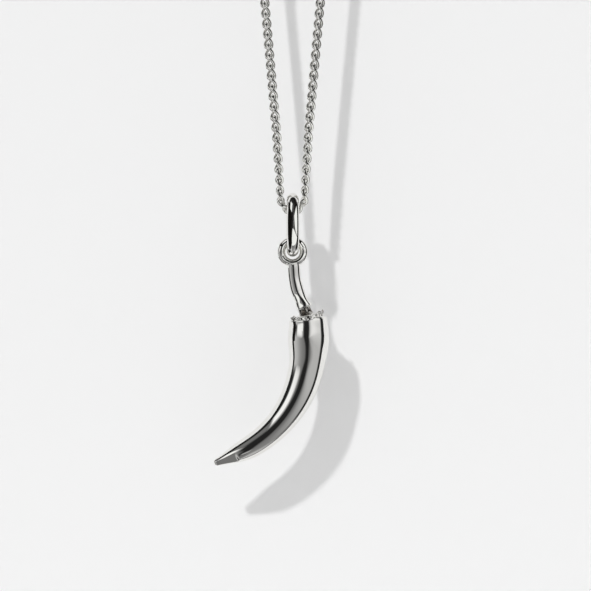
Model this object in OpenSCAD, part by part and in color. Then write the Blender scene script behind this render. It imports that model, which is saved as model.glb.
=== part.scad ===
// A chili pepper charm hung from a curb chain. The frame's origin is the point where the loop
// hangs: +Z is up, +X is to the right and +Y runs away from the side that shows.

/* [Chain] */
// Width of the chain across its flat face
chain_w = 1.5; // [1.2:0.1:1.6]
// Thickness of the chain through its flat face
chain_t = 0.9; // [0.8:0.05:0.95]

/* [Clasp] */
// Diameter of the clasp's barrel
clasp_d = 2.6; // [2.2:0.1:3]
// Length of the clasp's barrel
clasp_len = 7.5; // [7:0.1:7.6]
// Diameter of the wire of the two eyes
eye_wire = 0.45; // [0.4:0.05:0.5]
// Diameter of the hole in each eye
eye_hole = 1.05; // [1:0.05:1.1]

/* [Bail] */
// Diameter of the bail's round wire
bail_wire = 1.7; // [1.5:0.05:1.7]
// Height of the bail over its wire
bail_h = 9; // [8.6:0.1:9.4]
// Depth of the bail over its wire, front to back
bail_d = 5.5; // [5.3:0.1:6]
// Turn of the bail about the vertical, in degrees
bail_turn = 3; // [0:1:4]

/* [Ring] */
// Diameter of the ring's round wire
ring_wire = 1.14; // [1:0.02:1.2]
// Diameter of the hole in the ring
ring_hole = 2; // [1.98:0.02:2.2]

/* [Stem] */
// Diameter of the stem
stem_d = 1.82; // [1.6:0.02:2]

/* [Calyx] */
// Diameter over the tips of the calyx
calyx_d = 4.6; // [4.2:0.1:5]

/* [Pepper] */
// Largest diameter of the pepper
body_d = 5.74; // [5:0.02:6.2]
// Length of the pepper along its axis
body_len = 27.3; // [25:0.1:30]
// Angle that the pepper's axis turns through, in degrees
body_turn = 69; // [55:1:75]

/* [Hidden] */
SILVER = [0.80, 0.79, 0.77];
DARK_SILVER = [0.66, 0.65, 0.63];

// Route of the right half of the loop, from its lowest point to the clasp.
// columns: x, z, turn of the chain's flat face in degrees, where 0 faces the front
HALF_ROUTE = [
    [0, -211, 90],
    [0.6, -210.85, 90],
    [1.05, -210.5, 90],
    [1.3, -210.1, 88],
    [1.4, -209.6, 85],
    [1.55, -208, 72],
    [1.75, -205.8, 52],
    [2, -203, 30],
    [2.25, -200.2, 12],
    [2.45, -198, 3],
    [2.9, -193, 0],
    [3.8, -183, 0],
    [5.6, -163, 0],
    [7.4, -143, 0],
    [9.2, -123, 0],
    [11, -103, 0],
    [12.8, -83, 0],
    [14.6, -63, 0],
    [16.4, -43, 0],
    [17.75, -28, 0],
    [18.55, -19, 0],
    [18.6, -17, 0],
    [18.4, -14.2, 0],
    [17.8, -11.6, 0],
    [16.7, -8.8, 0],
    [15.1, -6.1, 0],
    [13.1, -3.8, 0],
    [10.8, -1.9, 0],
    [8.4, -0.4, 0],
    [6.8, 0.3, 15],
    [5.5, 0.8, 30]
];
CHAIN_SIDES = 8;

// Places down the middle of the pendant. The chain bends round the bail's top wire.
hang_gap = 0.1;
ring_gap = 0.05;
chain_low_z = HALF_ROUTE[0][1];
bail_top_z = chain_low_z + chain_t / 2 + hang_gap + bail_wire / 2;
bail_end_r = (bail_d - bail_wire) / 2;
bail_leg = bail_h - bail_wire - 2 * bail_end_r;
bail_low_z = bail_top_z - 2 * bail_end_r - bail_leg;
ring_r = (ring_hole + ring_wire) / 2;
ring_z = bail_low_z + bail_wire / 2 + ring_gap - ring_hole / 2;

// The charm is one skin carried along one axis, from inside the ring's wire to the pepper's tip.
// Places along it are in mm from its start, which is measured from the middle of the ring.
AXIS_START = [0.13, -1.5];
BODY_FROM = 7.32;
RIM_FROM = 7.6;
CHARM_SIDES = 48;

// Stem and calyx
// columns: place along the axis, lean of the axis and tilt of the section across it, both to
// the right of straight down in degrees
STEM_LEAN = [
    [0, 7, 6],
    [1.5, 4, 5],
    [2.7, 10, 10],
    [3.8, 17, 16],
    [4.9, 22, 20],
    [5.8, 21, 19],
    [6.6, 18, 15],
    [7.4, 18.5, 11],
    [8.2, 15, 8],
    [9, 1, 3],
    [9.8, 1.3, 1.3]
];
// columns: place along the axis, share of the stem's radius
STEM_PROFILE = [
    [0, 0.3],
    [0.15, 0.55],
    [0.45, 0.86],
    [1.1, 0.98],
    [3, 0.98],
    [4.6, 1],
    [5.5, 1.04],
    [5.95, 1.12],
    [6.2, 1.1],
    [6.5, 0.93]
];
STEM_LEN = 6.45;
STEM_RINGS = 24;
// columns: place before the calyx's rim, radius as a share of the rim's, reach of the fingers
CALYX_PROFILE = [
    [0.98, 0.445, 0],
    [0.78, 0.5, 0.03],
    [0.58, 0.6, 0.08],
    [0.4, 0.72, 0.2],
    [0.25, 0.86, 0.45],
    [0.12, 0.95, 0.8],
    [0, 1, 1],
    [-0.12, 0.98, 0.8]
];
FINGER_REACH = 0.36;
FINGER_HALF_WIDTH = 15;
// columns: direction in degrees, where 0 is right and 270 is the front; share of the full
// reach; rise of the tip
FINGERS = [
    [2, 1, 0.16],
    [38, 0.8, 0.05],
    [76, 0.7, 0.1],
    [112, 1, 0.04],
    [146, 0.8, 0.12],
    [181, 1, 0],
    [214, 0.7, 0.04],
    [247, 0.9, 0.06],
    [271, 0.8, 0.12],
    [295, 0.9, 0.08],
    [328, 0.7, 0.02]
];

// Pepper: shares of its own length, from its shoulder to its tip
BODY_LEAN = -1.3;
TURN_FROM = 0.165;
TURN_TO = 0.87;
TURN_EASE = 0.05;
SHOULDER_LEN = 1.8;
SHOULDER_POWER = 2.5;
TIP_ROUND = 0.42;
BODY_RINGS = 44;
BODY_HIDDEN = 0.48;
// columns: share of the pepper's length, share of its largest radius
BODY_PROFILE = [
    [0, 0.93],
    [0.06, 0.95],
    [0.12, 1],
    [0.18, 0.972],
    [0.25, 0.887],
    [0.34, 0.842],
    [0.47, 0.762],
    [0.61, 0.66],
    [0.74, 0.589],
    [0.82, 0.532],
    [0.87, 0.455],
    [0.92, 0.335],
    [0.96, 0.235],
    [1, 0.165]
];

// Value of one column of a table at place s in its first column, on a smooth curve
function row_at(t, s) = max([for (i = [0 : len(t) - 2]) if (s >= t[i][0] || i == 0) i]);
function slope(t, i, c) =
    let (a = max(i - 1, 0), b = min(i + 1, len(t) - 1))
    (t[b][c] - t[a][c]) / (t[b][0] - t[a][0]);
function curve_at(t, s, c) =
    let (
        i = row_at(t, s),
        h = t[i + 1][0] - t[i][0],
        u = (s - t[i][0]) / h
    )
    t[i][c] * (2 * u^3 - 3 * u^2 + 1) + t[i + 1][c] * (3 * u^2 - 2 * u^3)
    + h * (slope(t, i, c) * (u^3 - 2 * u^2 + u) + slope(t, i + 1, c) * (u^3 - u^2));

// Skin of a swept form: faces that join each ring of points to the next, and two end faces
function skin(rings, sides) = concat(
    [for (i = [0 : rings - 2], j = [0 : sides - 1])
        [i * sides + j, i * sides + (j + 1) % sides, (i + 1) * sides + (j + 1) % sides]],
    [for (i = [0 : rings - 2], j = [0 : sides - 1])
        [i * sides + j, (i + 1) * sides + (j + 1) % sides, (i + 1) * sides + j]],
    [[for (j = [sides - 1 : -1 : 0]) j]],
    [[for (j = [0 : sides - 1]) (rings - 1) * sides + j]]
);

// Direction of a route of [x, z] points at its point i
function along(route, i) =
    let (
        a = route[max(i - 1, 0)],
        b = route[min(i + 1, len(route) - 1)],
        d = [b[0] - a[0], b[1] - a[1]]
    )
    d / norm(d);

// One ring of a swept form: an oval of half width a and half thickness b, turned about the
// route's direction d, where turn 0 lays the width in the route's own plane
function oval_ring(p, d, a, b, turn, sides) = [
    for (j = [0 : sides - 1])
        let (
            across = a * cos(360 * j / sides),
            through = b * sin(360 * j / sides),
            flat = across * cos(turn) - through * sin(turn),
            deep = across * sin(turn) + through * cos(turn)
        )
        [p[0] - flat * d[1], deep, p[1] + flat * d[0]]
];

module sweep(route, half_w, half_t, turns, sides) {
    polyhedron(
        points = [for (i = [0 : len(route) - 1])
            each oval_ring(route[i], along(route, i), half_w[i], half_t[i], turns[i], sides)],
        faces = skin(len(route), sides)
    );
}

// Chain: one tube round the whole loop, from eye to eye of the clasp
module chain() {
    last = len(HALF_ROUTE) - 1;
    rows = concat(
        [for (i = [last : -1 : 1]) [-HALF_ROUTE[i][0], HALF_ROUTE[i][1], HALF_ROUTE[i][2]]],
        HALF_ROUTE
    );
    color(DARK_SILVER)
        sweep(
            rows,
            [for (r = rows) chain_w / 2],
            [for (r = rows) chain_t / 2],
            [for (r = rows) r[2]],
            CHAIN_SIDES
        );
}

// Clasp: one plain barrel on its side, with an eye at each end
module clasp() {
    edge_r = clasp_d / 4;
    eye_r = (eye_hole + eye_wire) / 2;
    color(SILVER)
        translate([0, 0, clasp_d / 2]) {
            rotate([0, 90, 0])
                translate([0, 0, -clasp_len / 2])
                    rotate_extrude($fn = 48) {
                        square([clasp_d / 2 - edge_r, clasp_len]);
                        translate([0, edge_r])
                            square([clasp_d / 2, clasp_len - 2 * edge_r]);
                        for (z = [edge_r, clasp_len - edge_r])
                            translate([clasp_d / 2 - edge_r, z])
                                intersection() {
                                    circle(edge_r, $fn = 32);
                                    translate([-clasp_d / 2 + edge_r, -edge_r])
                                        square([clasp_d / 2, 2 * edge_r]);
                                }
                    }
            for (side = [-1, 1])
                translate([side * (clasp_len / 2 + eye_r - eye_wire / 2), 0, 0])
                    rotate([90, 0, 0])
                        rotate_extrude($fn = 48)
                            translate([eye_r, 0])
                                circle(d = eye_wire, $fn = 24);
        }
}

// Bail: a long round-wire loop that stands edge on to the front
module bail_end() {
    rotate([90, 0, 90])
        rotate_extrude(angle = 180, $fn = 64)
            translate([bail_end_r, 0])
                circle(d = bail_wire, $fn = 48);
}

module bail() {
    color(SILVER)
        rotate([0, 0, bail_turn]) {
            translate([0, 0, bail_top_z - bail_end_r])
                bail_end();
            translate([0, 0, bail_low_z + bail_end_r])
                rotate([180, 0, 0])
                    bail_end();
            for (side = [-1, 1])
                translate([0, side * bail_end_r, bail_low_z + bail_end_r])
                    cylinder(d = bail_wire, h = bail_leg, $fn = 48);
        }
}

// Chili charm: ring, stem, calyx and pepper are one casting
module ring() {
    rotate([90, 0, 0])
        rotate_extrude($fn = 48)
            translate([ring_r, 0])
                circle(d = ring_wire, $fn = 20);
}

// Lean of the charm's axis to the left of straight down, at a place along it, and the tilt of
// the section there
function ease(v) = (v + sqrt(v^2 + TURN_EASE^2)) / 2;
function body_lean(u) =
    BODY_LEAN + body_turn * (ease(u - TURN_FROM) - ease(u - TURN_TO)) / (TURN_TO - TURN_FROM);
function lean(s, column = 1) =
    s < STEM_LEAN[len(STEM_LEAN) - 1][0]
    ? -curve_at(STEM_LEAN, s, column)
    : body_lean((s - BODY_FROM) / body_len);
function tilt(s) = lean(s, 2);

// Radius of the pepper at a place along its own length, closed in a dome and a blunt tip
function body_radius(s) =
    let (
        up = max(0, 1 - s / SHOULDER_LEN),
        down = max(0, 1 - (body_len - s) / TIP_ROUND)
    )
    body_d / 2 * curve_at(BODY_PROFILE, s / body_len, 1)
    * (1 - up^SHOULDER_POWER)^(1 / SHOULDER_POWER) * sqrt(1 - down^2);

// Places of the pepper's sections along its own length, closer together at both ends
function body_place(k) =
    let (v = k / BODY_RINGS)
    BODY_HIDDEN + (body_len - BODY_HIDDEN - 0.03) * (v - 0.08 * sin(360 * v));

// Sections of the charm, one row each: place along the axis, radius, reach of the fingers
function sections() =
    let (rim_r = calyx_d / 2 - FINGER_REACH)
    concat(
        [for (k = [0 : STEM_RINGS])
            let (s = STEM_LEN * (k / STEM_RINGS)^1.3)
            [s, stem_d / 2 * curve_at(STEM_PROFILE, s, 1), 0]],
        [for (c = CALYX_PROFILE) [RIM_FROM - c[0], rim_r * c[1], FINGER_REACH * c[2]]],
        [for (k = [0 : BODY_RINGS]) [BODY_FROM + body_place(k), body_radius(body_place(k)), 0]]
    );

// Share of the fingers' reach at a direction round the calyx, and the rise that goes with it
function apart(a, b) = abs((a - b + 540) % 360 - 180);
function finger(direction, c) =
    max([for (f = FINGERS)
        f[c] * max(0, cos(90 * min(1, apart(direction, f[0]) / FINGER_HALF_WIDTH)))]);

function charm_ring(p, angle, r, reach) = [
    for (j = [0 : CHARM_SIDES - 1])
        let (
            turn = 360 * j / CHARM_SIDES,
            out = r + reach * finger(turn, 1),
            rise = reach / FINGER_REACH * finger(turn, 2),
            flat = out * cos(turn)
        )
        [
            p[0] + flat * cos(angle) + rise * sin(angle),
            out * sin(turn),
            p[1] - flat * sin(angle) + rise * cos(angle)
        ]
];

module charm_skin() {
    rows = sections();
    last = len(rows) - 1;
    places = [
        for (
            k = 0, p = AXIS_START;
            k <= last;
            h = k < last ? rows[k + 1][0] - rows[k][0] : 0,
            d = k < last ? lean((rows[k][0] + rows[k + 1][0]) / 2) : 0,
            p = p - h * [sin(d), cos(d)],
            k = k + 1
        ) p
    ];
    polyhedron(
        points = [for (k = [0 : last])
            each charm_ring(places[k], tilt(rows[k][0]), rows[k][1], rows[k][2])],
        faces = skin(last + 1, CHARM_SIDES)
    );
}

module chili_charm() {
    color(SILVER)
        translate([0, 0, ring_z]) {
            ring();
            charm_skin();
        }
}

chain();
clasp();
bail();
chili_charm();
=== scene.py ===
"""Looks of a chili pepper charm necklace, polished sterling silver on a curb chain.

Every length in this file is in millimetres until a mesh is written, where one factor turns it to
metres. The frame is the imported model's: +Z up, +X right of the face that shows, +Y to the back.
"""

from __future__ import annotations

import logging
import math
from dataclasses import dataclass, field
from enum import Enum

import bpy
import numpy as np
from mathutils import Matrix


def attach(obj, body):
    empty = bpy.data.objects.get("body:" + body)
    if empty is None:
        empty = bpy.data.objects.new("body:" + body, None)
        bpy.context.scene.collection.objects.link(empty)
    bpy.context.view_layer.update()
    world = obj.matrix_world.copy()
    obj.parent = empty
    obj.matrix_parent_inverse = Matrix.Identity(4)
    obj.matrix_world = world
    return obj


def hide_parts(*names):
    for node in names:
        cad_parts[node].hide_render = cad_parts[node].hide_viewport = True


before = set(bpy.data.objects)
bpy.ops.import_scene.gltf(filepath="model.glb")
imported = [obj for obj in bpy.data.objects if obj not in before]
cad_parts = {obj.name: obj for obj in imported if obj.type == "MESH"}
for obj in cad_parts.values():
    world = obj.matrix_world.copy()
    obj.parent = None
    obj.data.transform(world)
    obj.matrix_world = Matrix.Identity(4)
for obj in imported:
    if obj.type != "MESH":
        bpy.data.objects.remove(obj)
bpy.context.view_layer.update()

LOG = logging.getLogger("necklace")
MM = 0.001
TURN = 2 * math.pi
# Directions round an upright axis start at +X and go by the back
FRONT = 3 * TURN / 4
BACKWARDS = np.array([0.0, 1.0, 0.0])

Points = np.ndarray
Colour = tuple[float, float, float, float]


class Slot(Enum):
    """Names of the material slots."""

    SILVER = "silver"
    CHAIN_SILVER = "chain_silver"


# Colours and shader nodes


def linear(hex_colour: str) -> Colour:
    """Turns an sRGB hex colour to the linear values that a shader takes.

    Args:
        hex_colour: Six hex digits, with or without a leading mark.

    Returns:
        Red, green and blue in linear light, and an alpha of 1.
    """
    digits = hex_colour.lstrip("#")
    channels = [int(digits[i : i + 2], 16) / 255 for i in (0, 2, 4)]
    lit = [c / 12.92 if c <= 0.04045 else ((c + 0.055) / 1.055) ** 2.4 for c in channels]
    return (lit[0], lit[1], lit[2], 1.0)


def add_node(
    tree: bpy.types.NodeTree, kind: str, sockets: dict | None = None, settings: dict | None = None
) -> bpy.types.Node:
    """Adds one shader node with its settings, and sets or links its inputs.

    Args:
        tree: The node tree.
        kind: Blender's type name of the node, without the ShaderNode that it starts with.
        sockets: Inputs by name or number: a value, or another node's output to link.
        settings: Attributes of the node, by name.

    Returns:
        The new node.
    """
    node = tree.nodes.new("ShaderNode" + kind)
    for name, value in (settings or {}).items():
        setattr(node, name, value)
    for name, value in (sockets or {}).items():
        if isinstance(value, bpy.types.NodeSocket):
            tree.links.new(value, node.inputs[name])
        else:
            node.inputs[name].default_value = value
    return node


def new_material(name: str) -> tuple[bpy.types.Material, bpy.types.NodeTree]:
    """Makes a material without nodes.

    Args:
        name: Its name.

    Returns:
        The material and its empty node tree.
    """
    material = bpy.data.materials.new(name)
    material.use_nodes = True
    material.node_tree.nodes.clear()
    return material, material.node_tree


@dataclass(frozen=True)
class Signal:
    """A shader value that can be reckoned with: each operation adds the node that works it out."""

    tree: bpy.types.NodeTree
    socket: bpy.types.NodeSocket

    def worked_out(self, operation: str, other: Signal | float = 0.0) -> Signal:
        """Works out one operation on this value and another.

        Args:
            operation: Blender's name of the operation.
            other: The second value, where this one is the first.

        Returns:
            What the operation gives.
        """
        second = other.socket if isinstance(other, Signal) else other
        node = add_node(self.tree, "Math", {0: self.socket, 1: second}, {"operation": operation})
        return Signal(self.tree, node.outputs[0])

    def __add__(self, other: Signal | float) -> Signal:
        """The sum of two values."""
        return self.worked_out("ADD", other)

    def __sub__(self, other: Signal | float) -> Signal:
        """The first value less the second."""
        return self.worked_out("SUBTRACT", other)

    def __mul__(self, other: Signal | float) -> Signal:
        """The product of two values."""
        return self.worked_out("MULTIPLY", other)

    def __truediv__(self, other: Signal | float) -> Signal:
        """The first value over the second."""
        return self.worked_out("DIVIDE", other)

    def larger(self, other: Signal | float) -> Signal:
        """The larger of two values."""
        return self.worked_out("MAXIMUM", other)

    def smaller(self, other: Signal | float) -> Signal:
        """The smaller of two values."""
        return self.worked_out("MINIMUM", other)

    def size(self) -> Signal:
        """The value without its sign."""
        return self.worked_out("ABSOLUTE")

    def step(self, start: float, end: float) -> Signal:
        """A soft step, whichever way its two ends lie: 3 x share squared - 2 x share cubed.

        Args:
            start: The value before which the step is 0.
            end: The value past which it is 1.

        Returns:
            The step.
        """
        falls = start > end
        sockets = {"Value": self.socket, "From Min": min(start, end), "From Max": max(start, end)}
        sockets |= {"To Min": 1.0 if falls else 0.0, "To Max": 0.0 if falls else 1.0}
        node = add_node(self.tree, "MapRange", sockets, {"interpolation_type": "SMOOTHSTEP"})
        return Signal(self.tree, node.outputs["Result"])

    def ramp(self, stops: list[tuple[float, float]]) -> Signal:
        """A value that goes straight from each stop's second number to the next one's.

        Args:
            stops: Pairs of this signal's value and the new value, in rising order.

        Returns:
            The new value.
        """
        low, high = stops[0][0], stops[-1][0]
        sockets = {"Value": self.socket, "From Min": low, "From Max": high}
        share = add_node(self.tree, "MapRange", sockets).outputs["Result"]
        node = add_node(self.tree, "ValToRGB", {"Fac": share})
        elements = node.color_ramp.elements
        for place, value in stops[1:-1]:
            elements.new((place - low) / (high - low)).color = (value, value, value, 1)
        for element, (_, value) in ((elements[0], stops[0]), (elements[-1], stops[-1])):
            element.color = (value, value, value, 1)
        return Signal(self.tree, node.outputs["Color"])


# Curves and surfaces as whole arrays


def spline(knots: Points, values: Points, at: Points) -> Points:
    """Natural cubic spline: the smoothest curve through the rows, with no bend at its two ends.

    Between two rows it is the straight line between them, and for each row its bend x (share
    cubed - share) x step squared / 6, where share is 1 at that row and 0 at the other.

    Args:
        knots: Places of the rows, rising.
        values: The rows' values, one or more columns.
        at: Places where the curve is wanted.

    Returns:
        The curve's values, one row for each place.
    """
    y = np.asarray(values, float).reshape(len(knots), -1)
    h = np.diff(knots)
    slopes = np.diff(y, axis=0) / h[:, None]
    system = np.eye(len(knots))
    inner = np.arange(1, len(knots) - 1)
    system[inner, inner - 1] = h[:-1]
    system[inner, inner] = 2 * (h[:-1] + h[1:])
    system[inner, inner + 1] = h[1:]
    right = np.zeros_like(y)
    right[1:-1] = 6 * np.diff(slopes, axis=0)
    bend = np.linalg.solve(system, right)
    i = np.clip(np.searchsorted(knots, at, side="right") - 1, 0, len(knots) - 2)
    a = ((knots[i + 1] - at) / h[i])[:, None]
    b = 1 - a
    step = h[i][:, None]
    return a * y[i] + b * y[i + 1] + ((a**3 - a) * bend[i] + (b**3 - b) * bend[i + 1]) * step**2 / 6


def unit(vectors: Points) -> Points:
    """The vectors at length one."""
    return vectors / np.linalg.norm(vectors, axis=-1, keepdims=True)


def running_length(path: Points) -> Points:
    """Length of the path up to each of its points: the running sum of its steps."""
    return np.concatenate([[0], np.cumsum(np.linalg.norm(np.diff(path, axis=0), axis=1))])


def around_circle(count: int) -> Points:
    """Angles of evenly spaced points round a circle."""
    return np.arange(count) * TURN / count


def bump(x: Points) -> Points:
    """A smooth bump: e to the power of minus x squared."""
    return np.exp(-(x**2))


def powered(x: Points, power: float) -> Points:
    """The value's size to a power, with the value's own sign."""
    return np.sign(x) * np.abs(x) ** power


def tube_rings(path: Points, radii: Points | float, side: Points, closed: bool, around: int) -> Points:
    """Rings of a round tube: centre + radius x (cos a x side + sin a x across).

    Args:
        path: Centres of the rings.
        radii: Radius at each ring, or one for all.
        side: A direction off the path, one for all or one for each ring.
        closed: Whether the path is a loop.
        around: Points in a ring.

    Returns:
        Rings as an array of ring, point, coordinate.
    """
    if closed:
        along = unit(np.roll(path, -1, axis=0) - np.roll(path, 1, axis=0))
    else:
        along = unit(np.gradient(path, axis=0))
    side = np.broadcast_to(side, path.shape)
    side = unit(side - (side * along).sum(1, keepdims=True) * along)
    across = np.cross(along, side)
    cos, sin = np.cos(around_circle(around)), np.sin(around_circle(around))
    spokes = cos[None, :, None] * side[:, None] + sin[None, :, None] * across[:, None]
    return path[:, None] + np.broadcast_to(radii, len(path))[:, None, None] * spokes


@dataclass
class Shell:
    """Points and faces of one closed surface, in millimetres, and each point's depth of painted shade.
    """

    points: Points
    faces: list[tuple[int, ...]]
    shade: Points

    @classmethod
    def from_rings(cls, rings: Points, closed: bool = False, shade: Points | float = 0.0) -> Shell:
        """A skin over rings: each ring joined to the next by quads, and each open end by a fan.

        Args:
            rings: Ring, point, coordinate.
            closed: Whether the last ring joins the first.
            shade: Depth of painted shade, one value for all or one for each ring and point.

        Returns:
            The closed shell, its faces pointing outwards.
        """
        count, around, _ = rings.shape
        points = rings.reshape(-1, 3)
        shades = np.broadcast_to(shade, (count, around)).ravel()
        rows = np.arange(count if closed else count - 1)[:, None]
        cols = np.arange(around)[None, :]
        here, there = rows * around, (rows + 1) % count * around
        following = (cols + 1) % around
        quads = np.stack([here + cols, here + following, there + following, there + cols], -1)
        faces = [tuple(q) for q in quads.reshape(-1, 4).tolist()]
        if not closed:
            ring = np.arange(around)
            after = (ring + 1) % around
            start, end = len(points), len(points) + 1
            last = (count - 1) * around
            points = np.vstack([points, rings[0].mean(0), rings[-1].mean(0)])
            shades = np.append(shades, [shades[0], shades[-1]])
            first_fan = np.stack([np.full(around, start), after, ring], -1)
            last_fan = np.stack([np.full(around, end), last + ring, last + after], -1)
            faces += [tuple(t) for t in np.vstack([first_fan, last_fan]).tolist()]
        return cls(points, faces, shades).outwards()

    def outwards(self) -> Shell:
        """Turns the faces to point out, by the sign of the volume that their triangles hold.

        Returns:
            The same shell.
        """
        halves = [f[:3] for f in self.faces] + [(f[0], f[2], f[3]) for f in self.faces if len(f) == 4]
        corners = self.points[np.array(halves)]
        volume = np.einsum("ij,ij->", corners[:, 0], np.cross(corners[:, 1], corners[:, 2]))
        if volume < 0:
            self.faces = [f[::-1] for f in self.faces]
        return self


def wire_ring(centre: Points, hole: float, wire: float, steps: int, around: int) -> Shell:
    """A ring of round wire that faces the front: a circle carried round a circle.

    The wire's middle lies at (hole + wire) / 2 from the ring's middle.

    Args:
        centre: Its middle.
        hole: Width of its hole.
        wire: Thickness of its wire.
        steps: Sections round the ring.
        around: Points round the wire.

    Returns:
        Its shell.
    """
    angle = around_circle(steps)
    r = (hole + wire) / 2
    path = np.stack([r * np.cos(angle), 0 * angle, r * np.sin(angle)], -1) + centre
    return Shell.from_rings(tube_rings(path, wire / 2, BACKWARDS, True, around), closed=True)


def joined(shells: list[Shell]) -> Shell:
    """Puts shells together, in their order.

    Args:
        shells: The shells.

    Returns:
        One shell of them all.
    """
    faces: list[tuple[int, ...]] = []
    start = 0
    for shell in shells:
        faces += [tuple(i + start for i in f) for f in shell.faces]
        start += len(shell.points)
    points = np.vstack([shell.points for shell in shells])
    return Shell(points, faces, np.concatenate([shell.shade for shell in shells]))


def add_mesh(name: str, points: Points, faces: list, material: bpy.types.Material) -> bpy.types.Object:
    """Writes a smooth surface at the origin.

    Args:
        name: Its name.
        points: Its points, in millimetres.
        faces: Numbers of the points round each face.
        material: Its material.

    Returns:
        The new object.
    """
    mesh = bpy.data.meshes.new(name)
    mesh.from_pydata((points * MM).tolist(), [], faces)
    mesh.shade_smooth()
    mesh.materials.append(material)
    thing = bpy.data.objects.new(name, mesh)
    bpy.context.scene.collection.objects.link(thing)
    return thing


def piece(
    name: str, shell: Shell, material: bpy.types.Material, body: str, node: str
) -> None:
    """Writes a shell as a finished piece at the origin, which stands for a CAD node.

    Args:
        name: The piece's name.
        shell: Its surface, in millimetres.
        material: Its finish.
        body: The CAD body that it rides on.
        node: The CAD node that it stands for.
    """
    thing = add_mesh(name, shell.points, shell.faces, material)
    shades = thing.data.attributes.new("shade", "FLOAT", "POINT")
    shades.data.foreach_set("value", shell.shade.astype(np.float32))
    thing.data.validate()
    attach(thing, body)
    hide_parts(node)
    LOG.info("%s: %d faces", name, len(shell.faces))


# Finishes


@dataclass(frozen=True)
class PolishedSilver:
    """Sterling silver, cast and mirror polished: a warm white metal with hairlines from the buff.

    A metal's colour is what it reflects, so the shade stays near white. The eye reads the polish
    from soft reflections that waver a little where the hand polished it. A darker, rougher tone is
    painted shade: it darkens the calyx's neck and the sides of its fingers, as far as the point
    value "shade" reaches.
    """

    name: str = "polished_sterling_silver"
    shade: str = "#f1f0ed"
    # Colour of the painted shade, which darkens the neck and the fingers' sides
    painted_shade_colour: str = "#665f57"
    deep_roughness: float = 0.18
    roughness: float = 0.04
    roughness_spread: float = 0.04
    waver_mm: float = 2.6
    waver_height: float = 0.002
    # Real hairlines are finer than this, and are drawn as coarse as they need to show
    hairline_mm: float = 0.06
    hairline_height: float = 0.00003
    hairline_squeeze: float = 0.08

    def build(self) -> bpy.types.Material:
        """Makes the material.

        Returns:
            A metal whose roughness and relief come from noise on object coordinates, and whose
            colour deepens and roughness grows with the painted shade held in the point value named
            "shade".
        """
        material, tree = new_material(self.name)
        place = add_node(tree, "TexCoord").outputs["Object"]
        # Buffing marks are longer than they are wide: the pattern is squeezed along Z
        fine = 1 / (self.hairline_mm * MM)
        sockets = {"Vector": place, "Scale": (fine, fine, self.hairline_squeeze * fine)}
        marks = add_node(tree, "Mapping", sockets).outputs["Vector"]
        hairs = add_node(tree, "TexNoise", {"Vector": marks, "Scale": 1.0, "Detail": 3.0}).outputs["Fac"]
        sockets = {"Vector": place, "Scale": 1 / (self.waver_mm * MM), "Detail": 1.0}
        waver = add_node(tree, "TexNoise", sockets).outputs["Fac"]

        # The noise lies between 0.3 and 0.7 nearly everywhere
        sockets = {"Value": hairs, "From Min": 0.3, "From Max": 0.7}
        sockets |= {"To Min": self.roughness, "To Max": self.roughness + self.roughness_spread}
        rough = add_node(tree, "MapRange", sockets).outputs["Result"]
        sockets = {"Height": waver, "Distance": self.waver_height * MM, "Strength": 1.0}
        soft = add_node(tree, "Bump", sockets).outputs["Normal"]
        sockets |= {"Height": hairs, "Distance": self.hairline_height * MM, "Normal": soft}
        relief = add_node(tree, "Bump", sockets).outputs["Normal"]

        # Painted shade: the point value "shade" mixes in the darker colour and adds roughness
        depth = add_node(tree, "Attribute", settings={"attribute_name": "shade"}).outputs["Fac"]
        dulled = Signal(tree, rough) + Signal(tree, depth) * self.deep_roughness
        sockets = {"Factor": depth, "A": linear(self.shade), "B": linear(self.painted_shade_colour)}
        painted_shade_tone = add_node(tree, "Mix", sockets, {"data_type": "RGBA"}).outputs["Result"]
        sockets = {"Base Color": painted_shade_tone, "Metallic": 1.0, "Roughness": dulled.socket, "Normal": relief}
        metal = add_node(tree, "BsdfPrincipled", sockets)
        add_node(tree, "OutputMaterial", {"Surface": metal.outputs["BSDF"]})
        return material


# The charm


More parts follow.
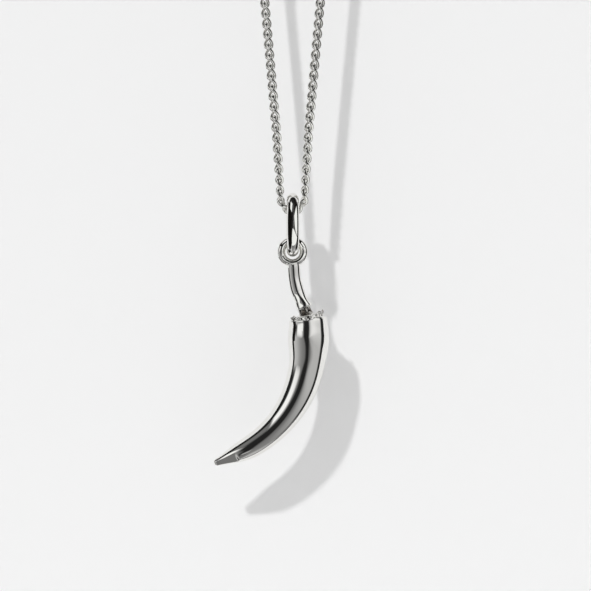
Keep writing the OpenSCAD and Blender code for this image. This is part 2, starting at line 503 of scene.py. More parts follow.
@dataclass
class ChiliCharm:
    """Ring, stem, calyx and pepper, cast as one piece."""

    middle_of_ring: Points = field(default_factory=lambda: np.array([0.0, 0.0, -217.0]))
    ring_wire: float = 1.14
    ring_hole: float = 2.0
    ring_steps: int = 96
    ring_around: int = 40
    axis_start: tuple[float, float] = (0.13, -1.5)
    axis_steps: int = 4000
    around: int = 128
    # Stem: its spur and its ridge, and how it draws in under them. Turns are in degrees, and half
    # widths round the stem in radians
    stem_width: float = 1.82
    stem_length: float = 7.2
    spur_at: float = 6.6
    spur_rise: float = 0.27
    spur_length: float = 0.3
    spur_slant: float = 0.24
    slant_over: float = 2.0
    ridge_rise: float = 0.24
    ridge_length: float = 2.4
    ridge_turn: float = 38.0
    ridge_power: float = 1.3
    half_width: float = 0.5
    undercut: float = 0.16
    # Where the painted shade on the neck begins, past the spur
    neck_painted_shade_from: float = 0.06
    stem_rings: int = 150
    # Calyx
    rim_at: float = 7.6
    rim_radius: float = 1.85
    front_apron: float = 0.8
    apron_power: float = 1.3
    scallop: float = 0.14
    scallop_half: float = 12.0
    neck_radius: float = 0.82
    ribs: int = 5
    rib_rise: float = 0.035
    rib_turn: float = 0.8
    rib_full_at: float = 0.5
    # Height over the shoulder where the painted shade on the calyx's neck begins, and how fast it
    # deepens
    painted_shade_over: float = 0.42
    painted_shade_ease: float = 0.1
    calyx_rings: int = 70
    calyx_around: int = 288
    finger_radius: float = 0.28
    finger_taper: float = 0.35
    finger_rings: int = 24
    finger_around: int = 16
    # Pepper: its bend, its shoulder and its tip. The bend runs between two shares of its length
    body_width: float = 5.74
    body_length: float = 27.3
    body_from: float = 7.32
    body_lean: float = -1.3
    body_turn: float = 69.0
    turn_from: float = 0.165
    turn_to: float = 0.87
    turn_ease: float = 0.05
    dome_from: float = 0.58
    shoulder_length: float = 0.7
    shoulder_power: float = 4.0
    tip_round: float = 0.42
    facet_from: float = 23.8
    facet_ease: float = 0.3
    facet_turn: float = 292.0
    facet_half: float = 33.0
    crowding: float = 0.13
    pepper_rings: int = 260

    # columns: place along the axis, lean of the axis, tilt of the section across it
    STEM_LEAN = np.array([
        [0, 7, 6], [1.5, 4, 5], [2.7, 10, 10], [3.8, 17, 16], [4.9, 22, 20], [5.8, 21, 19],
        [6.6, 18, 15], [7.4, 18.5, 11], [8.2, 15, 8], [9, 1, 3], [9.8, 1.3, 1.3],
    ])
    # columns: place along the axis, share of the stem's radius
    STEM_PROFILE = np.array([
        [0, 0.88], [0.05, 0.96], [0.12, 0.98], [0.5, 0.98], [1.4, 0.98], [2.6, 0.99],
        [3.8, 1.04], [4.7, 1.02], [5.3, 1.03], [5.8, 1.09], [6.2, 1.14], [6.5, 1.13],
        [6.75, 1.0], [6.95, 0.92], [7.2, 0.9],
    ])
    # columns: share of the way from neck to rim, height over the pepper's shoulder
    CALYX_PROFILE = np.array([
        [0.0, 1.4], [0.0, 1.15], [0.03, 0.85], [0.09, 0.62], [0.22, 0.46], [0.4, 0.4],
        [0.65, 0.38], [0.85, 0.38], [0.95, 0.37], [1.0, 0.26], [1.01, 0.08], [0.93, -0.08],
    ])
    # columns: direction in degrees from +X round by the back, length, lift of the tip, thickness, depth
    # of painted shade
    FINGERS = np.array([
        [2, 0.24, 0.34, 1.6, 1], [40, 0.12, 0.3, 1, 0], [78, 0.12, 0.35, 1, 0],
        [112, 0.14, 0.3, 1, 0], [146, 0.12, 0.35, 1, 0], [180, 0.15, 0.05, 1, 0.8],
        [212, 0.1, 0.1, 0.9, 0.9], [243, 0.1, 0.1, 1, 0], [266, 0.08, 0.2, 1, 0],
        [282, 0.08, 0.25, 1, 0], [302, 0.1, 0.2, 1, 0], [332, 0.12, 0.2, 0.9, 0],
    ])
    # columns: way out from the calyx's edge, share of the length added to it, way out to the
    # place of the shoulder that carries the row, height over it, share of the lift added to it
    FINGER_PATH = np.array([
        [-0.45, 0, -0.45, 0.15, 0], [-0.12, 0, -0.1, 0.2, 0], [0, 0.5, -0.1, 0.2, 0.3],
        [0, 1, -0.1, 0.2, 0.75], [0, 0.85, -0.1, 0.2, 1],
    ])
    # columns: share of the pepper's length, share of its largest radius
    BODY_PROFILE = np.array([
        [0, 0.93], [0.06, 0.95], [0.12, 1], [0.18, 0.972], [0.25, 0.887], [0.34, 0.842],
        [0.47, 0.762], [0.61, 0.66], [0.74, 0.589], [0.82, 0.532], [0.87, 0.455], [0.92, 0.335],
        [0.96, 0.235], [1, 0.165],
    ])

    def lean(self, places: Points, column: int) -> Points:
        """Lean of the axis, or tilt of the section, to the left of straight down, in radians.

        The stem's part is a curve through its table. The pepper's part turns at an even rate
        between two places, eased at both.

        Args:
            places: Places along the axis.
            column: 1 for the axis, 2 for the section.

        Returns:
            An angle for each place.
        """
        table = self.STEM_LEAN
        stem = -spline(table[:, 0], table[:, column], places)[:, 0]
        u = (places - self.body_from) / self.body_length

        def eased(v: Points) -> Points:
            """The value where it is over 0, and 0 under it, rounded where the two meet."""
            return (v + np.sqrt(v**2 + self.turn_ease**2)) / 2

        rate = self.body_turn / (self.turn_to - self.turn_from)
        body = self.body_lean + rate * (eased(u - self.turn_from) - eased(u - self.turn_to))
        return np.radians(np.where(places < table[-1, 0], stem, body))

    def axis(self, places: Points) -> Points:
        """Points of the axis: the running sum of steps down and to the side by its lean.

        Args:
            places: Places along the axis.

        Returns:
            A point for each place, from the ring's middle.
        """
        fine = np.linspace(0, places.max(), self.axis_steps)
        lean = self.lean(fine, 1)
        middle = (lean[1:] + lean[:-1]) / 2
        step = np.diff(fine)
        x = self.axis_start[0] - np.concatenate([[0], np.cumsum(np.sin(middle) * step)])
        z = self.axis_start[1] - np.concatenate([[0], np.cumsum(np.cos(middle) * step)])
        return np.stack([np.interp(places, fine, x), 0 * places, np.interp(places, fine, z)], -1)

    def place(self, centre: Points, tilt: Points, far: Points, turn: Points, lift: Points) -> Points:
        """Puts points given round the axis into the frame.

        With flat = far x cos(turn), the point lies right of the axis by flat x cos(tilt) + lift x
        sin(tilt), behind it by far x sin(turn), and over it by lift x cos(tilt) - flat x sin(tilt).

        Args:
            centre: Point of the axis under each point.
            tilt: Turn of the section in the plane of the front.
            far: Distance from the axis.
            turn: Direction round the axis, from +X by the back.
            lift: Height over the section.

        Returns:
            Points in the frame's millimetres.
        """
        flat = far * np.cos(turn)
        x = centre[..., 0] + flat * np.cos(tilt) + lift * np.sin(tilt)
        y = far * np.sin(turn) + 0 * x
        z = centre[..., 2] - flat * np.sin(tilt) + lift * np.cos(tilt)
        return np.stack([x, y, z], -1) + self.middle_of_ring

    def rings_along(self, places: Points, far: Points) -> Points:
        """Rings across the axis.

        Args:
            places: Places along the axis.
            far: Distances from it, a row for each place and a column for each side.

        Returns:
            Ring, point, coordinate.
        """
        turn = around_circle(far.shape[1])[None]
        centre = self.axis(places)[:, None]
        return self.place(centre, self.lean(places, 2)[:, None], far, turn, 0.0)

    def pepper_radius(self, s: Points) -> Points:
        """Radius of the pepper: its profile, closed by a dome at the top and a blunt tip.

        The dome is the fourth root of 1 - u to the power 4, where u goes from 1 at the top to 0
        below the shoulder. The tip is the square root of 1 - w squared, where w is 1 at the end.

        Args:
            s: Places along the pepper, from its start.

        Returns:
            A radius for each place.
        """
        up = np.clip(1 - (s - self.dome_from) / self.shoulder_length, 0, 1)
        down = np.clip(1 - (self.body_length - s) / self.tip_round, 0, 1)
        dome = (1 - up**self.shoulder_power) ** (1 / self.shoulder_power)
        share = spline(self.BODY_PROFILE[:, 0], self.BODY_PROFILE[:, 1], s / self.body_length)[:, 0]
        return self.body_width / 2 * share * dome * np.sqrt(1 - down**2)

    def pepper(self) -> Shell:
        """The pepper, with sections that crowd towards both ends.

        The tip has one flat facet on its front, below: a radius r is cut back to the plane at
        r x cos(half width), so it becomes that length / cos(angle from the facet's middle).

        Returns:
            Its shell.
        """
        v = np.linspace(0, 1, self.pepper_rings)
        shown = self.body_length - self.dome_from
        # The first and last sections keep off the ends, where the radius is 0
        s = self.dome_from + shown * (0.0005 + 0.999 * (v - self.crowding * np.sin(TURN * v)))
        turn = around_circle(self.around)
        apart = np.abs((turn - math.radians(self.facet_turn) + TURN / 2) % TURN - TURN / 2)
        half = math.radians(self.facet_half)
        cut = 1 - math.cos(half) / np.cos(np.minimum(apart, half))
        depth = np.clip((s - self.facet_from) / self.facet_ease, 0, 1)
        far = self.pepper_radius(s)[:, None] * (1 - depth[:, None] * cut[None])
        return Shell.from_rings(self.rings_along(self.body_from + s, far))

    def mottled_painted_shade(self, turn: Points) -> Points:
        """Depth of painted shade round the neck, patchy: 0.8 + 0.2 x cos(4 x turn + 1)."""
        return 0.8 + 0.2 * np.cos(4 * turn + 1)

    def stem(self) -> Shell:
        """The stem: its radius by its table, a ridge down its front and a spur on its right.

        The ridge rises towards the calyx and moves to the right, so the lower stem has a broad
        left flank. Under ridge and spur the stem draws in to the neck, on a slant that is higher
        on the right. Both are bumps round the stem, e to the power of minus (angle / half width)
        squared, and so is their fall below the spur, with the undercut for the width.

        Returns:
            Its shell.
        """
        s = np.linspace(0, self.stem_length, self.stem_rings)
        turn = around_circle(self.around)[None]
        slant = self.spur_slant * np.clip(s[:, None] / self.slant_over, 0, 1) * np.cos(turn)
        past = s[:, None] - self.spur_at + slant
        knots, values = self.STEM_PROFILE.T
        share = spline(knots, values, (past + self.spur_at).ravel()).reshape(past.shape)
        rising = np.clip(1 + past / self.ridge_length, 0, 1)
        drawn_in = bump(past / self.undercut)
        from_ridge = turn - FRONT - np.radians(self.ridge_turn) * rising
        ridge = np.where(past < 0, rising**self.ridge_power, drawn_in)
        ridge = ridge * bump(from_ridge / self.half_width)
        from_spur = np.minimum(turn, TURN - turn)
        spur = np.where(past < 0, bump(past / self.spur_length), drawn_in)
        spur = spur * bump(from_spur / self.half_width)
        far = self.stem_width / 2 * share + self.ridge_rise * ridge + self.spur_rise * spur
        # Painted shade: the neck below the spur and ridge is drawn darker, patchy round it
        painted_shade_depth = np.clip((past - self.neck_painted_shade_from) / self.undercut, 0, 1)
        return Shell.from_rings(self.rings_along(s, far), shade=self.mottled_painted_shade(turn) * painted_shade_depth)

    def shoulder_height(self, far: Points) -> Points:
        """Height of the pepper's shoulder over the section at the rim.

        It falls from its top by length x (1 - the fourth root of 1 - share to the power 4), where
        share is the distance over the shoulder's radius.

        Args:
            far: Distances from the axis.

        Returns:
            A height for each distance.
        """
        widest = self.body_width / 2 * self.BODY_PROFILE[0, 1]
        share = np.clip(far / widest, 0, 0.999) ** self.shoulder_power
        down = self.shoulder_length * (1 - (1 - share) ** (1 / self.shoulder_power))
        return self.rim_at - self.body_from - self.dome_from - down

    def rim(self, turn: Points) -> Points:
        """Distance of the calyx's edge from the axis: an apron at the front, and scallops.

        The apron is its size x (share of the direction that is to the front) to its power. A
        scallop is its size x cos(90 degrees x angle from a finger / half angle).

        Args:
            turn: Directions round the axis.

        Returns:
            A distance for each direction.
        """
        apart = np.abs((np.degrees(turn)[:, None] - self.FINGERS[None, :, 0] + 540) % 360 - 180)
        near = np.cos(np.pi / 2 * np.minimum(1, apart / self.scallop_half)).max(1)
        apron = self.front_apron * np.clip(-np.sin(turn), 0, 1) ** self.apron_power
        return self.rim_radius + apron + self.scallop * (near - 0.5)

    def calyx(self) -> Shell:
        """The calyx: a thin skirt that lies on the pepper's shoulder and flares from the neck.

        It lies at neck + (rim - neck) x share in the table from the axis. Five low ribs run up to
        the neck, rib height x cos(5 x turn + 0.8).

        Returns:
            Its shell.
        """
        rows = np.linspace(0, 1, len(self.CALYX_PROFILE))
        share, over = spline(rows, self.CALYX_PROFILE, np.linspace(0, 1, self.calyx_rings)).T
        over = over[:, None]
        turn = around_circle(self.calyx_around)
        ribs = np.cos(self.ribs * turn + self.rib_turn)[None] * np.clip(over / self.rib_full_at, 0, 1)
        skirt = (self.rim(turn)[None] - self.neck_radius) * share[:, None]
        far = self.neck_radius + skirt + self.rib_rise * ribs
        lift = self.shoulder_height(far) + over
        middle = lift.mean(1)
        places = self.rim_at - middle
        tilt = self.lean(places, 2)[:, None]
        rest = lift - middle[:, None]
        rings = self.place(self.axis(places)[:, None], tilt, far, turn[None], rest)
        # Painted shade: the calyx's neck is drawn darker, patchy round it
        painted_shade_depth = np.clip((over - self.painted_shade_over) / self.painted_shade_ease, 0, 1)
        return Shell.from_rings(rings, shade=self.mottled_painted_shade(turn)[None] * painted_shade_depth)

    def fingers(self) -> list[Shell]:
        """The calyx's small curled fingers: tapered round tubes, thin at the root, round at the tip.

        The radius goes from half at the root to full at 0.4 of the way, narrows with the way by
        the taper, and ends as a quarter circle from 0.8. Each finger carries painted shade as deep as
        its tone, fading by the share of a side that faces the front, to the power 1.5, so its sides and
        back are drawn darker than its front.

        Returns:
            A shell for each finger.
        """
        place = np.array([self.rim_at])
        centre, tilt = self.axis(place), self.lean(place, 2)
        t = 1 - (1 - np.linspace(0, 1, self.finger_rings)) ** 1.5
        blunt = np.sqrt(1 - np.clip((t - 0.8) / 0.2, 0, 0.995) ** 2)
        rooted = 0.5 + 0.5 * np.clip(t / 0.4, 0, 1)
        shape = self.finger_radius * (1 - self.finger_taper * t) * blunt * rooted
        out, out_by_length, seat, over, over_by_lift = self.FINGER_PATH.T
        rows = np.linspace(0, 1, len(self.FINGER_PATH))
        shells = []
        for degrees, length, rise, thickness, painted_shade_tone in self.FINGERS:
            turn = math.radians(degrees)
            edge = self.rim(np.array([turn]))[0]
            height = self.shoulder_height(edge + seat) + over + rise * over_by_lift
            curve = np.stack([edge + out + length * out_by_length, height], -1)
            far, lift = spline(rows, curve, t).T
            path = self.place(centre, tilt, far, turn, lift)
            radii = thickness * shape
            side = np.array([-math.sin(turn), math.cos(turn), 0.0])
            rings = tube_rings(path, radii, side, False, self.finger_around)
            # Painted shade: each finger is drawn darker on the sides that don't face the front
            front = np.clip((path[:, None, 1] - rings[..., 1]) / radii[:, None], 0, 1)
            shells.append(Shell.from_rings(rings, shade=painted_shade_tone * (1 - 0.9 * front**1.5)))
        return shells

    def build(self, finish: PolishedSilver) -> None:
        """Makes the charm as one piece on its own body.

        Args:
            finish: Its metal.
        """
        hole, wire, steps, around = self.ring_hole, self.ring_wire, self.ring_steps, self.ring_around
        ring = wire_ring(self.middle_of_ring, hole, wire, steps, around)
        shell = joined([self.pepper(), self.stem(), self.calyx(), *self.fingers(), ring])
        piece("chili_charm_silver", shell, finish.build(), "charm", "chili_charm")


# The bail


@dataclass
class Bail:
    """A long oval loop of round wire that stands edge on to the front."""

    wire: float = 1.7
    height: float = 9.0
    depth: float = 5.5
    turn: float = 3.0
    top_z: float = -209.6
    fullness: float = 2.35
    fine_steps: int = 2880
    steps: int = 160
    around: int = 56

    def build(self, finish: PolishedSilver) -> None:
        """Makes the bail: a round wire along a full oval, |y / b| ^ fullness + |z / c| ^ fullness = 1.

        The points lie evenly along the oval, whose half sizes b and c reach the wire's middle.

        Args:
            finish: Its metal.
        """
        half_depth, half_height = (self.depth - self.wire) / 2, (self.height - self.wire) / 2
        t = np.linspace(0, TURN, self.fine_steps + 1)
        power = 2 / self.fullness
        fine_y = half_depth * powered(np.cos(t), power)
        fine_z = half_height * powered(np.sin(t), power)
        length = running_length(np.stack([fine_y, fine_z], -1))
        at = np.arange(self.steps) * length[-1] / self.steps
        y, z = np.interp(at, length, fine_y), np.interp(at, length, fine_z) + self.top_z - half_height
        cos, sin = math.cos(math.radians(self.turn)), math.sin(math.radians(self.turn))
        path = np.stack([-y * sin, y * cos, z], -1)
        rings = tube_rings(path, self.wire / 2, np.array([cos, sin, 0.0]), True, self.around)
        shell = Shell.from_rings(rings, closed=True)
        piece("bail_silver", shell, finish.build(), "bail", "bail")


# The chain


@dataclass
class CurbChain:
    """Twisted oval links all round the loop, from eye to eye of the clasp."""

    pitch: float = 1.457
    link_wire: float = 0.5
    half_length: float = 1.06
    half_width: float = 0.53
    end_fullness: float = 0.85
    side_fullness: float = 0.5
    settled: float = 0.6
    fine_steps: int = 1440
    route_steps: int = 12000
    around_link: int = 16
    around_wire: int = 6
    first_joint: tuple[float, float, float] = (4.83, 1.085, 155.0)

    # Right half of the loop, from its lowest point to the clasp, as the frame's tube lies. Its
    # lowest links hang up to 0.17 mm lower, clear of the bail's wire.
    # columns: x, z, turn of the flat face in degrees, where 0 faces the front
    HALF_ROUTE = np.array([
        [0, -211.32, 90], [0.5, -211.2, 90], [0.95, -210.91, 90], [1.3, -210.51, 91],
        [1.55, -210, 93], [1.68, -209.4, 96], [1.74, -208.6, 99], [1.8, -207.5, 103],
        [1.9, -205.8, 110], [2.05, -203.5, 119], [2.25, -200.2, 126], [2.45, -198, 128],
        [2.9, -193, 128], [3.8, -183, 128], [5.6, -163, 128], [7.4, -143, 128],
        [9.2, -123, 128], [11, -103, 128], [12.8, -83, 128], [14.6, -63, 128], [16.4, -43, 128],
        [17.75, -28, 128], [18.55, -19, 128], [18.6, -17, 130], [18.4, -14.2, 133],
        [17.8, -11.6, 136], [16.7, -8.8, 139], [15.1, -6.1, 142], [13.1, -3.8, 145],
        [10.8, -1.9, 148], [8.4, -0.4, 151], [6.8, 0.3, 153], [5.5, 0.8, 154],
    ])

    def route(self) -> tuple[Points, Points]:
        """The whole loop as joint points an even way apart, and the face's turn at each.

        A smooth curve runs through the table and its mirror image. A joint lies outside a bend
        by pitch squared / 8 x curvature, so that the straight links' middles lie on the curve.

        Returns:
            Joint points, and turns in degrees.
        """
        half = np.vstack([self.HALF_ROUTE, self.first_joint])
        left = half[:0:-1] * np.array([-1, 1, -1]) + np.array([0, 0, 180])
        rows = np.vstack([left, half])
        knots = running_length(rows[:, :2])
        fine = spline(knots, rows, np.linspace(0, knots[-1], self.route_steps))
        length = running_length(fine[:, :2])
        count = 2 * round((length[-1] / self.pitch - 1) / 2) + 1
        at = np.linspace(0, length[-1], count + 1)
        step = length[-1] / count
        along = unit(np.gradient(fine[:, :2], axis=0))
        bend = np.gradient(along, axis=0) / np.gradient(length)[:, None]
        pushed = fine[:, :2] - step**2 / 8 * bend
        x, z = (np.interp(at, length, pushed[:, k]) for k in (0, 1))
        LOG.info("chain: %.1f mm in %d links, %.3f mm apart", length[-1], count, step)
        return np.stack([x, 0 * at, z], -1), np.interp(at, length, fine[:, 2])

    def link(self) -> Points:
        """One link: a full oval, twisted so that it crosses both its neighbours at right angles.

        The wire's middle lies at z = half length x cos t and at half width x sin t from the
        link's axis, each number drawn to a power that fills the oval out. The wire turns back
        about that axis by 90 degrees x (z / pitch + settled x sin(full turn x z / pitch) / full
        turn), so it holds its direction where the neighbour crosses. Its points lie evenly along it.

        Returns:
            Ring, point, coordinate: x across the face, y through it, z along the chain.
        """
        t = np.linspace(0, TURN, self.fine_steps + 1)
        z = self.half_length * powered(np.cos(t), self.end_fullness)
        r = self.half_width * powered(np.sin(t), self.side_fullness)
        along = z / self.pitch
        twist = -np.pi / 2 * (along + self.settled * np.sin(TURN * along) / TURN)
        fine = np.stack([r * np.cos(twist), r * np.sin(twist), z, twist], -1)
        length = running_length(fine[:, :3])
        at = (np.arange(self.around_link) + 0.5) * length[-1] / self.around_link
        x, y, z, twist = (np.interp(at, length, fine[:, k]) for k in range(4))
        side = np.stack([-np.sin(twist), np.cos(twist), 0 * z], -1)
        return tube_rings(np.stack([x, y, z], -1), self.link_wire / 2, side, True, self.around_wire)

    def build(self, finish: PolishedSilver) -> None:
        """Lays a copy of the link between each joint and the next.

        Args:
            finish: The links' metal.
        """
        joints, turns = self.route()
        along = unit(np.diff(joints, axis=0))
        middle = (joints[1:] + joints[:-1]) / 2
        turn = np.radians((turns[1:] + turns[:-1]) / 2)[:, None]
        flat = np.cross(np.broadcast_to(BACKWARDS, along.shape), along)
        wide = flat * np.cos(turn) + BACKWARDS * np.sin(turn)
        frames = np.stack([wide, np.cross(along, wide), along], 1)
        placed = np.einsum("rpk,lkc->lrpc", self.link(), frames) + middle[:, None, None]
        shell = joined([Shell.from_rings(rings, closed=True) for rings in placed])
        piece("chain_links", shell, finish.build(), "chain_loop", "chain")


# The clasp


@dataclass
class BarrelClasp:
    """A plain barrel with an eye at each end, hidden at the back of the neck."""

    width: float = 2.6
    length: float = 7.5
    straight_to: float = 2.0
    eye_wire: float = 0.45
    eye_hole: float = 1.05
    groove: float = 0.09
    cap_end: float = 0.05
    cap_steps: int = 14
    around: int = 64
    eye_steps: int = 40
    eye_around: int = 16

    # columns: x, share of the groove's depth
    SEAM = np.array([
        [-0.35, 0], [-0.16, 0], [-0.11, 0.5], [-0.05, 1], [0.05, 1], [0.11, 0.5], [0.16, 0],
        [0.35, 0],
    ])

    def build(self, finish: PolishedSilver) -> None:
        """Makes barrel and eyes: a profile turned about the barrel's axis, and two round rings.

        The profile's ends are quarter circles of a quarter of the width.

        Args:
            finish: Their metal.
        """
        edge = self.width / 4
        half = self.length / 2
        arc = np.linspace(0, np.pi / 2, self.cap_steps)
        cap_x = -half + edge * (1 - np.cos(arc))
        cap_r = self.width / 2 - edge + edge * np.sin(arc)
        seam_r = self.width / 2 - self.groove * self.SEAM[:, 1]
        full, closing = [self.width / 2], [self.cap_end]
        left, right = [-half, *cap_x, -self.straight_to], [self.straight_to, *-cap_x[::-1], half]
        x = np.concatenate([left, self.SEAM[:, 0], right])
        r = np.concatenate([closing, cap_r, full, seam_r, full, cap_r[::-1], closing])
        path = np.stack([x, 0 * x, 0 * x + self.width / 2], -1)
        angle = around_circle(self.around)
        ring = np.stack([0 * angle, np.cos(angle), np.sin(angle)], -1)
        shells = [Shell.from_rings(path[:, None] + r[:, None, None] * ring[None])]
        for side in (-1, 1):
            centre = np.array([side * (half + self.eye_hole / 2), 0, self.width / 2])
            eye = wire_ring(centre, self.eye_hole, self.eye_wire, self.eye_steps, self.eye_around)
            shells.append(eye)
        piece("clasp_silver", joined(shells), finish.build(), "chain_loop", "clasp")


# Studio


@dataclass(frozen=True)
class StageSurface:
    """A plain surface of the stage: one shader in one colour."""

    name: str
    shader: str
    shade: str
    clear_from_behind: bool = False

    def build(self) -> bpy.types.Material:
        """Makes the material.

        Returns:
            A material of that shader, which may let the view through from behind.
        """
        material, tree = new_material(self.name)
        shown = add_node(tree, self.shader, {"Color": linear(self.shade)}).outputs[0]
        if self.clear_from_behind:
            clear = add_node(tree, "BsdfTransparent").outputs[0]
            behind = add_node(tree, "NewGeometry").outputs["Backfacing"]
            shown = add_node(tree, "MixShader", {0: behind, 1: shown, 2: clear}).outputs[0]
        add_node(tree, "OutputMaterial", {"Surface": shown})
        return material


PAPER = StageSurface("backdrop_paper", "BsdfDiffuse", "#f3f3f3", clear_from_behind=True)
VELVET = StageSurface("black_velvet", "BsdfDiffuse", "#1c1a18")
PANEL = StageSurface("lit_panel", "Emission", "#fbfdfb", clear_from_behind=True)


@dataclass(frozen=True)
class Card:
    """A flat card close to the object, as pairs of points from one end of it to the other.

    A lit card shines to the side from which a pair and the next one go round it anticlockwise.
    """

    name: str
    corners: tuple[tuple[float, float, float], ...]
    lit: bool = False

    @classmethod
    def upright(
        cls, name: str, x: float, rows: tuple[tuple[float, ...], ...], lit: bool = False
    ) -> Card:
        """A card that stands square to X.

        Args:
            name: Its name.
            x: Its place.
            rows: A height and the Y of the card's two sides there, for each height.
            lit: Whether it shines.

        Returns:
            The card.
        """
        return cls(name, tuple((x, y, z) for z, *sides in rows for y in sides), lit)


@dataclass
class Studio:
    """Pale sweep, soft light and the camera at the photograph's angle."""

    view_x: float = 0.42
    view_z: float = -223.12
    view_width: float = 82.74
    lens: float = 150.0
    sensor: float = 36.0
    wall_y: float = 9.0
    floor_z: float = -330.0
    sweep_top: float = 300.0
    sweep_reach: float = 900.0
    sweep_bend: float = 60.0
    key_energy: float = 1.19
    key_angle: float = 3.0
    key_shift: tuple[float, float] = (4.34, -7.56)
    even_shade: str = "#f1f1f1"
    even_strength: float = 0.712
    darkest: float = 0.017
    # columns: height, left edge, right edge
    mirrored_card: tuple[tuple[float, float, float], ...] = (
        (-330, -36, 400), (-290, -37, 300), (-240, -38, 90), (-226, -46, 66), (-205, -66, 62),
        (-170, -110, 60), (40, -240, 60),
    )
    cards: tuple[Card, ...] = (
        Card.upright("dark_card_left", -25, ((-205, -70, 8.5), (-196, -70, 8.5))),
        Card.upright("dark_card_bail", -1.2, ((-217.9, -5, -1.95), (-210.6, -5, -1.95))),
        Card.upright("dark_card_stem_left", -7, ((-226.3, -1.9, 3.5), (-219.6, 1.5, 4.5))),
        Card.upright("dark_card_pepper", -7, ((-230, -3.1, -1.6), (-226.3, -3.5, -0.9))),
        Card.upright("dark_card_right", 7.5, ((-222.8, -2.2, 1.6), (-206, -3.9, 0.9))),
        Card.upright("dark_card_top_right", 13, ((-206, -90, -4), (-175, -90, -4))),
        Card.upright("dark_card_bail_right", 4, (
            (-215.7, -3.2, -2.7), (-215.2, -7, -4.6), (-214.6, -30, -7.6),
            (-213.1, -30, -9.3), (-209.1, -30, -13.6), (-207, -30, -14.1),
        )),
        Card.upright("lit_card_right", 12, (
            (-217.2, -3.9, -4.2), (-215.3, -3.9, -10.9), (-213.2, -3.9, -22.7), (-204, -3.9, -35),
        ), lit=True),
        Card.upright("lit_card_stem", -4, ((-226.4, -11, -2.7), (-224.7, -11, -2.7)), lit=True),
        Card("lit_card_above", (
            (-26.2, -19.3, -199.8), (-19.0, -10.9, -185.6),
            (-12.6, -31.1, -199.8), (-5.4, -22.7, -185.6),
        ), lit=True),
        Card("lit_card_below", (
            (-26, -120, -219.25), (34, -52, -219.25), (-3, -5, -219.25), (21, -5, -219.25),
        ), lit=True),
    )

    def camera(self) -> None:
        """Sets the camera square to the front."""
        data = bpy.data.cameras.new("camera")
        data.lens = self.lens
        data.sensor_width = self.sensor
        distance = self.view_width * self.lens / self.sensor
        data.clip_start = distance * MM * 0.05
        data.clip_end = distance * MM * 20
        camera = bpy.data.objects.new("camera", data)
        camera.location = (self.view_x * MM, -distance * MM, self.view_z * MM)
        camera.rotation_euler = (math.pi / 2, 0, 0)
        bpy.context.scene.collection.objects.link(camera)
        bpy.context.scene.camera = camera

    def sheet(self, name: str, points: Points, material: bpy.types.Material, in_view: bool) -> None:
        """Writes a surface of the stage, which either the view shows or the silver mirrors.

        Args:
            name: Its name.
            points: A grid of points, row by row, in millimetres.
            material: Its material.
            in_view: Whether the view shows it.
        """
        rows, cols, _ = points.shape
        i = np.arange(rows - 1)[:, None] * cols + np.arange(cols - 1)[None]
        faces = np.stack([i, i + 1, i + cols + 1, i + cols], -1).reshape(-1, 4)
        thing = add_mesh(name, points.reshape(-1, 3), faces.tolist(), material)
        if in_view:
            thing.visible_glossy = False
        else:
            thing.visible_camera = thing.visible_diffuse = thing.visible_shadow = False

    def backdrop(self) -> None:
        """Floor and wall in one sweep for the view, and a smaller card that the silver mirrors."""
        paper = PAPER.build()
        bend, arc = self.sweep_bend, np.linspace(0, np.pi / 2, 16)
        y = [-self.sweep_reach, *(self.wall_y - bend + bend * np.sin(arc)), self.wall_y]
        z = [self.floor_z, *(self.floor_z + bend * (1 - np.cos(arc))), self.sweep_top]
        x = np.array([-self.sweep_reach, self.sweep_reach])
        columns = np.array(y)[:, None], np.array(z)[:, None]
        grid = np.stack(np.broadcast_arrays(x[None, :], *columns), -1)
        self.sheet("backdrop_sweep", grid, paper, in_view=True)
        card = np.array(self.mirrored_card, float)
        just_before_wall = np.full((1, 1), self.wall_y - 0.02)
        grid = np.stack(np.broadcast_arrays(card[:, 1:], just_before_wall, card[:, :1]), -1)
        self.sheet("mirrored_card", grid, paper, in_view=False)

    def near_cards(self) -> None:
        """Small cards close by, dark or lit, which the silver mirrors and the camera doesn't see."""
        dark, lit = VELVET.build(), PANEL.build()
        for card in self.cards:
            grid = np.array(card.corners, float).reshape(-1, 2, 3)
            self.sheet(card.name, grid, lit if card.lit else dark, in_view=False)

    def key_light(self) -> None:
        """A small soft light up on the left, which casts the shadow on the wall."""
        data = bpy.data.lights.new("key", "SUN")
        data.energy = self.key_energy
        data.angle = math.radians(self.key_angle)
        light = bpy.data.objects.new("key", data)
        # A shadow on the wall lies this far to the right of what throws it, and below it
        right, up = self.key_shift
        x, y, z = unit(np.array([right, self.wall_y, up]))
        light.rotation_euler = (math.acos(-z), 0.0, math.atan2(y, x) - math.pi / 2)
        light.visible_glossy = False
        bpy.context.scene.collection.objects.link(light)

    def surroundings(self) -> None:
        """What lights the paper evenly, and what the silver mirrors: soft panels and dark gaps.

        A direction is (x, y, z), and its front share f is -y. Walls of light stand on the right
        and the left, so their edges are steps on x / f, f / x and z / x. The room is dark in
        front, and so are the gaps between each wall of light and the backdrop.
        """
        world = bpy.data.worlds.new("studio")
        bpy.context.scene.world = world
        world.use_nodes = True
        tree = world.node_tree
        tree.nodes.clear()
        toward = add_node(tree, "TexCoord").outputs["Generated"]
        split = add_node(tree, "SeparateXYZ", {"Vector": toward})
        x = Signal(tree, split.outputs["X"])
        z = Signal(tree, split.outputs["Z"])
        f = Signal(tree, split.outputs["Y"]) * -1.0
        side = x.size().larger(0.001)
        ahead = f.larger(0.001)
        depth, rise = f / side, z / side
        across, height = x / ahead, z / ahead

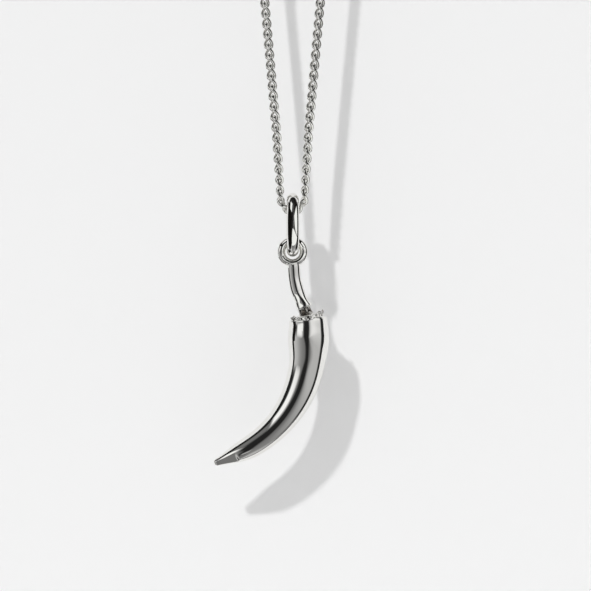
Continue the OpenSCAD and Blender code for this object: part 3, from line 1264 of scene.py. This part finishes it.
        # The wall of light on the right, brighter towards its top
        grey = rise.ramp(
            [(-4.0, 0.24), (-1.8, 0.21), (-1.29, 0.28), (-0.81, 0.4), (-0.58, 0.47)]
            + [(-0.3, 0.47), (0.0, 0.58), (0.12, 0.62), (0.25, 0.78), (0.4, 0.9), (1.2, 0.84)]
        )
        near = across - height.larger(0.0) * 0.22
        near = near.ramp([(-0.02, 0.0), (0.05, 0.3), (0.12, 0.6), (0.25, 0.85), (0.6, 1.0)])
        gap = (depth + rise * 0.1 - 0.09).size().step(0.08, 0.26)
        right = grey * near * gap * x.step(0.0, 0.01) * z.step(0.85, 0.55)

        # The lower wall of light on the left, dimmer towards the front
        stops = [(0.0, 0.55), (0.3, 0.48), (0.58, 0.37), (0.93, 0.26), (1.43, 0.2), (3.0, 0.13)]
        near = (across + height.step(-0.3, 0.1) * 0.22).step(-0.18, -0.42)
        left = depth.ramp(stops) * near * rise.step(0.2, 0.0)

        # The white box up on the left, and the light that it spreads round itself
        back_edge = (depth - rise.smaller(0.35) * 0.3).step(0.2, 0.45)
        box = across.step(-0.42, -0.95) * back_edge * rise.step(-0.15, 0.22) * rise.step(0.68, 0.56)
        spread = across.step(-0.4, -0.8) * depth.step(0.4, 0.7) * rise.step(0.0, 0.2)
        spread = spread * z.step(0.95, 0.6) * 0.16
        left = left.larger(box.larger(spread)) * x.step(0.0, -0.01)

        # The pale table under the object, its bright front edge, and the floor before it
        table = z.step(-0.68, -0.93) * depth.step(4.0, 1.0) * 0.5
        edge = (height + 0.78).size().step(0.3, 0.0) * across.size().step(0.22, 0.08) * 0.45
        floor = z.step(-0.6, -0.75) * f.step(0.75, 0.6) * 0.17
        ahead_only = f.step(-0.03, 0.02)
        total = (right + left).larger(table).larger(edge).larger(floor) * ahead_only + self.darkest
        mirrored = add_node(tree, "Background", {"Color": total.socket, "Strength": 1.0})
        sockets = {"Color": linear(self.even_shade), "Strength": self.even_strength}
        even = add_node(tree, "Background", sockets)
        glossy = add_node(tree, "LightPath").outputs["Is Glossy Ray"]
        mix = add_node(tree, "MixShader", {0: glossy, 1: even.outputs[0], 2: mirrored.outputs[0]})
        add_node(tree, "OutputWorld", {"Surface": mix.outputs[0]})

    def build(self) -> None:
        """Sets camera, backdrop and lights, with colours shown as they are."""
        bpy.context.scene.view_settings.view_transform = "Standard"
        self.camera()
        self.backdrop()
        self.near_cards()
        self.key_light()
        self.surroundings()


def main() -> None:
    """Builds the studio and each piece in order."""
    logging.basicConfig(level=logging.INFO, format="%(message)s")
    finish = PolishedSilver()
    tumbled = PolishedSilver(
        "polished_chain_silver", roughness=0.02, roughness_spread=0.02, waver_height=0.0
    )
    Studio().build()
    ChiliCharm().build(finish)
    Bail().build(finish)
    CurbChain().build(tumbled)
    BarrelClasp().build(finish)


if __name__ == "__main__":
    main()
